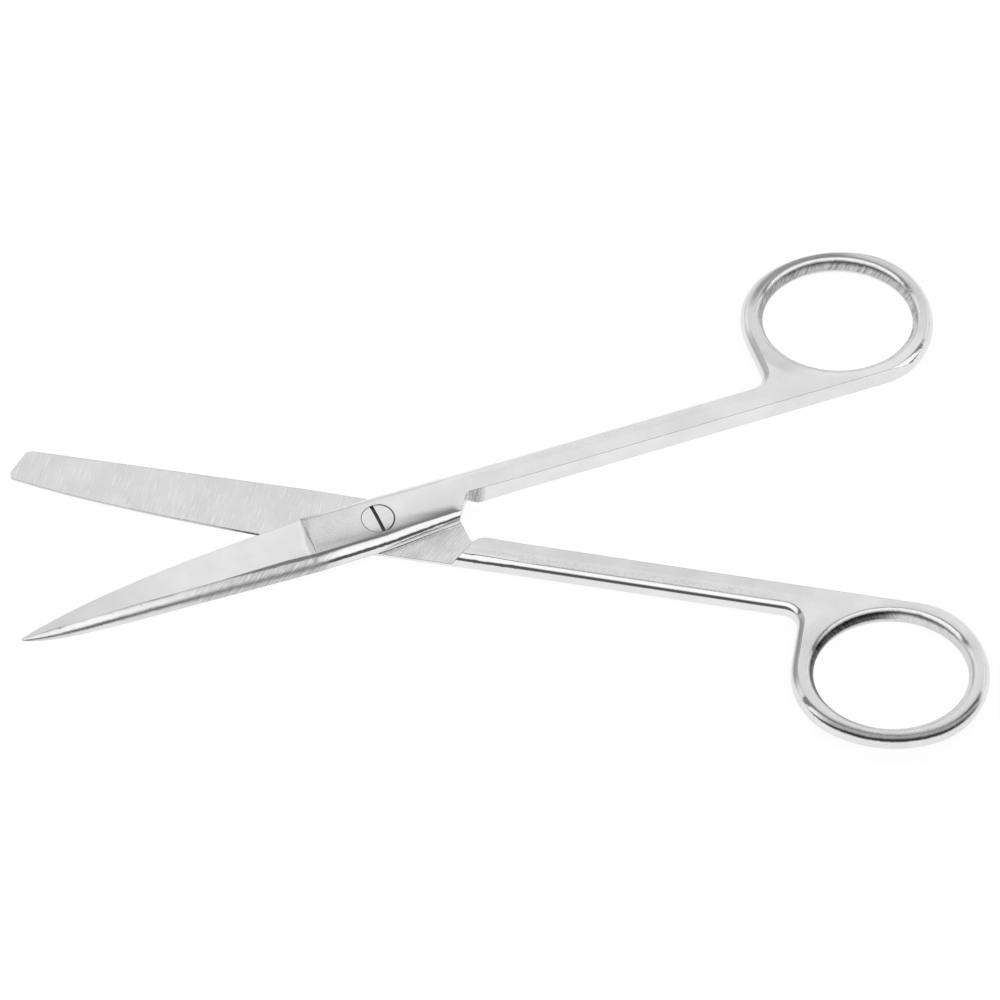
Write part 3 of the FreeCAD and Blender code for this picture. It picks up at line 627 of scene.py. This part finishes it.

# %% [markdown]
# ## Colour
#
# On a metal the base colour says how much light each mirror image keeps. Clean steel keeps about
# nine tenths. Marks and dirt swallow some, and many rows paint shade, shadows and dark reflections
# into the colour, so most rows take something away; one row paints a highlight. Each row names a
# zone, the marks in it, and the change on the sharp and on the blunt half. A row without a zone
# counts everywhere, and one without marks fills its zone evenly.

# %% Changes of the colour
CLEAN_STEEL = 0.92
COLOUR_CHANGES = [
    (None, "smudges", -0.05, -0.05),
    # painted shade along every crease and crisp edge
    ("crease", None, -0.60, -0.60),
    ("hole_wall", "streaks", -0.34, -0.12),
    ("hole_wall", None, -0.16, -0.06),
    # painted shade at the start of the hole's wall and on the rolled rim
    ("hole_start_painted_shade", None, -0.10, -0.66),
    ("rolled_end_painted_shade", None, -0.10, -0.54),
    ("rolled_neck_painted_shade", None, -0.34, -0.46),
    ("far_strip", None, 0.0, -0.07),
    ("ring_top", None, -0.13, -0.06),
    # painted dark reflection in a band on the far side of the sharp ring
    ("far_band_painted_reflection", None, -0.40, 0.0),
    # painted shade on the land of the blunt half
    ("land", None, 0.0, -0.10),
    ("joint_start", None, -0.09, -0.09),
    ("joint_start", "specks", -0.08, -0.08),
    # painted shadow of the other half on the land near the joint
    ("edge_wall_painted_shadow", None, -0.40, -0.52),
    ("hatched", "hatch", -0.36, -0.36),
    ("inner_blade", None, -0.02, -0.02),
    ("inner_blade", "cross_dark", -0.13, -0.13),
    ("inner_joint", "face", -0.16, -0.16),
    ("inner_joint", "smudges", -0.08, -0.08),
    ("handle_flat", "brush_dark", -0.04, -0.04),
    ("speckled", "specks", -0.05, -0.12),
    ("ring_wall", "specks", -0.06, -0.06),
    # filing lines, then painted shade, on the notch's wall
    ("notch_wall", "face", -0.30, -0.30),
    ("notch_wall", None, -0.25, -0.25),
    # painted shade and a painted highlight at the shoulder
    ("shoulder_shade", None, -0.16, -0.16),
    ("shoulder_light", None, 0.06, 0.06),
    # painted shade in the gap beside the screw's head
    ("screw_gap_painted_shade", None, -0.70, -0.70),
    ("inner_blade", "cross_bright", 0.18, 0.18),
]
print("the colour has", len(COLOUR_CHANGES), "changes")

# %% [markdown]
# One helper reads such a table: it adds row after row, and leaves out a row whose change is 0 on
# this half. The gloss and the relief use it again.

# %% Put the colour on
def build_up(half, start, rows):
    """A number plus the change that each row brings on this half."""
    total = start
    for zone, marks, on_sharp, on_blunt in rows:
        amount = on_sharp if half.side > 0 else on_blunt
        if amount:
            masks = [half.zones[zone]] if zone else []
            masks += [half.marks[marks]] if marks else []
            total = calculate(half.tree, "ADD", total, multiply(half.tree, *masks, amount))
    return total


for half in halves:
    colour = build_up(half, CLEAN_STEEL, COLOUR_CHANGES)
    half.tree.links.new(colour, half.shader.inputs["Base Color"])
    half.shader.inputs["Metallic"].default_value = 1.0
    print(half.material.name, "has its colour, with", len(half.tree.nodes), "nodes so far")

# %% [markdown]
# ## Gloss
#
# The rounded bands are polished like a mirror, and the ground flats are satin. Roughness says how
# far a mirror image is blurred, and rows like those of the colour add a little of it by zone.

# %% Gloss of the steel
MIRROR_POLISH = 0.09
GLOSS_CHANGES = [
    ("level", None, 0.16, 0.16),
    ("inner_blade", None, 0.06, 0.06),
    ("hatched", None, 0.12, 0.12),
    ("blade_back", None, 0.18, 0.18),
    ("hole_wall", None, 0.14, 0.14),
    (None, "smudges", 0.04, 0.04),
]
for half in halves:
    dull = build_up(half, MIRROR_POLISH, GLOSS_CHANGES)
    half.tree.links.new(dull, half.shader.inputs["Roughness"])
    print(half.material.name, "has its gloss, with", len(half.tree.nodes), "nodes so far")

# %% [markdown]
# ## Relief
#
# Lines that only darken the steel look printed. A Bump node also tilts the surface a little along
# each line, so they glint when the light moves. The ring's top is slightly domed towards the
# hole, by less than a tenth of a millimetre. That dome is part of the relief too: its height
# falls with the square of the way towards the hole, as a round dome's does.

# %% Height of the marks
DOME_WIDTH = 2.5
RELIEF_CHANGES = [
    ("hatched", "hatch", 1.0, 1.0),
    ("inner_blade", "cross", 1.2, 1.2),
    ("inner_blade", "cross_bright", 0.5, 0.5),
    ("hole_wall", "streaks", 2.5, 0.8),
    ("inner_joint", "face", 0.8, 0.8),
    ("speckled", "specks", 0.5, 0.5),
    ("handle_flat", "brush", 0.25, 0.25),
    ("ring_wall", "smudges", 6.0, 6.0),
    ("crowned", "dome", -6.0, -4.0),
    ("ring_wall", "specks", 0.4, 0.4),
]
for half in halves:
    short_of = calculate(half.tree, "SUBTRACT", DOME_WIDTH, half.measures["from_hole"])
    towards_hole = calculate(half.tree, "MAXIMUM", short_of, 0.0)
    half.marks["dome"] = multiply(half.tree, towards_hole, towards_hole)
    half.relief = build_up(half, 0.0, RELIEF_CHANGES)
    print(half.material.name, "relief has", len(RELIEF_CHANGES), "layers")

# %% [markdown]
# ## Rounded edges
#
# No edge of a handle is left sharp. The large roundings are in the solid, and the last polish is
# a second Bevel node, whose radius grows from the blade to the shank and the ring. Its normal is
# the base on which the relief lies. In the run-out behind the joint the normal is drawn towards
# straight up, or straight down on an underside, which evens out the faint slope that is there.

# %% Rounded edges and relief together
EDGE_RADIUS = 0.10 * MM
SHANK_RADIUS = 0.40 * MM
RING_RADIUS = 0.45 * MM
EDGE_SAMPLES = 8
RUN_OUT_SHARE = 0.9
RELIEF_HEIGHT = 0.008 * MM
for half in halves:
    tree = half.tree
    wider = calculate(tree, "ADD", multiply(tree, half.zones["soft_shank"], SHANK_RADIUS),
                      multiply(tree, half.zones["soft_ring"], RING_RADIUS))
    edges = add_node(tree, "ShaderNodeBevel", {
        "Radius": calculate(tree, "ADD", EDGE_RADIUS, wider)}, samples=EDGE_SAMPLES)
    straight_up = add_node(tree, "ShaderNodeCombineXYZ", {
        "Z": calculate(tree, "SIGN", multiply(tree, half.measures["outward"], half.side))})
    evened = add_node(tree, "ShaderNodeMix", {
        "Factor": multiply(tree, half.zones["run_out"], RUN_OUT_SHARE),
        4: edges.outputs["Normal"], 5: straight_up.outputs[0]}, data_type="VECTOR")
    bump = add_node(tree, "ShaderNodeBump", {
        "Height": half.relief, "Strength": 1.0, "Distance": RELIEF_HEIGHT,
        "Normal": evened.outputs[1]})
    tree.links.new(bump.outputs["Normal"], half.shader.inputs["Normal"])
    print(half.material.name, "has", len(tree.nodes), "nodes")

# %% [markdown]
# ## Steel of the screw
#
# The head was turned and then polished with the joint, so it is smooth. The slot, which is only
# 0.6 mm wide, holds dirt, and its shade is painted into the colour. Its floor and walls are darkened
# by their depth under the head, because that needs no mask of the slot's outline.

# %% Lines and depths of the screw
SCREW_TOP = pivot.z + 2.50 * MM
SLOT_RIM = SCREW_TOP - 0.10 * MM
SLOT_DARK = SCREW_TOP - 0.45 * MM
screw_steel = bpy.data.materials.new("screw_steel")
screw_steel.use_nodes = True
tree = screw_steel.node_tree
shader = tree.nodes["Principled BSDF"]
surface = add_node(tree, "ShaderNodeTexCoord").outputs["Object"]
in_millimetres = add_node(tree, "ShaderNodeVectorMath", {0: surface, "Scale": 1 / MM}, operation="SCALE")
height = add_node(tree, "ShaderNodeSeparateXYZ", {0: surface}).outputs["Z"]
slot_dirt_and_painted_shade = soft_step(tree, height, SLOT_RIM, SLOT_DARK)
turning = add_node(tree, "ShaderNodeGroup", {
    "Place": in_millimetres.outputs[0], "Angle": 0.4, "Spacing": 0.3, "Length": 3.0, "Seed": 51.0,
}, node_tree=grinding_lines).outputs["Lines"]
print("screw head at", round(SCREW_TOP / MM, 2), "mm")

# %% [markdown]
# The turned lines take away a little light, and the slot's dirt and painted shade take away most
# of it. The head is less glossy than the rounded bands, and the slot's dirt is duller still.

# %% Colour, gloss and relief of the screw
SCREW_GREY = 0.90
SCREW_POLISH = 0.18
TURNED_HEIGHT = 0.006 * MM
grey = calculate(tree, "SUBTRACT", SCREW_GREY, multiply(tree, turning, 0.06))
# dirt and painted shade in the slot, darker deeper down
grey = calculate(tree, "SUBTRACT", grey, multiply(tree, slot_dirt_and_painted_shade, 0.72))
tree.links.new(grey, shader.inputs["Base Color"])
dull = calculate(tree, "ADD", SCREW_POLISH, multiply(tree, slot_dirt_and_painted_shade, 0.4))
tree.links.new(dull, shader.inputs["Roughness"])
bump = add_node(tree, "ShaderNodeBump", {"Height": turning, "Strength": 0.5, "Distance": TURNED_HEIGHT})
tree.links.new(bump.outputs["Normal"], shader.inputs["Normal"])
shader.inputs["Metallic"].default_value = 1.0
print("screw steel has", len(tree.nodes), "nodes")

# %% [markdown]
# ## Put the steel on
#
# Each piece keeps its own mesh, and only its material slot is filled. A finish could also be set
# face by face, but each of these pieces is one steel all over.

# %% Materials of the pieces
finishes = {
    "sharp_half": sharp_steel.material, "blunt_half": blunt_steel.material, "pivot_screw": screw_steel,
}
for name, piece in nodes.items():
    piece.data.materials.clear()
    piece.data.materials.append(finishes[name])
    print(name, "wears", finishes[name].name)
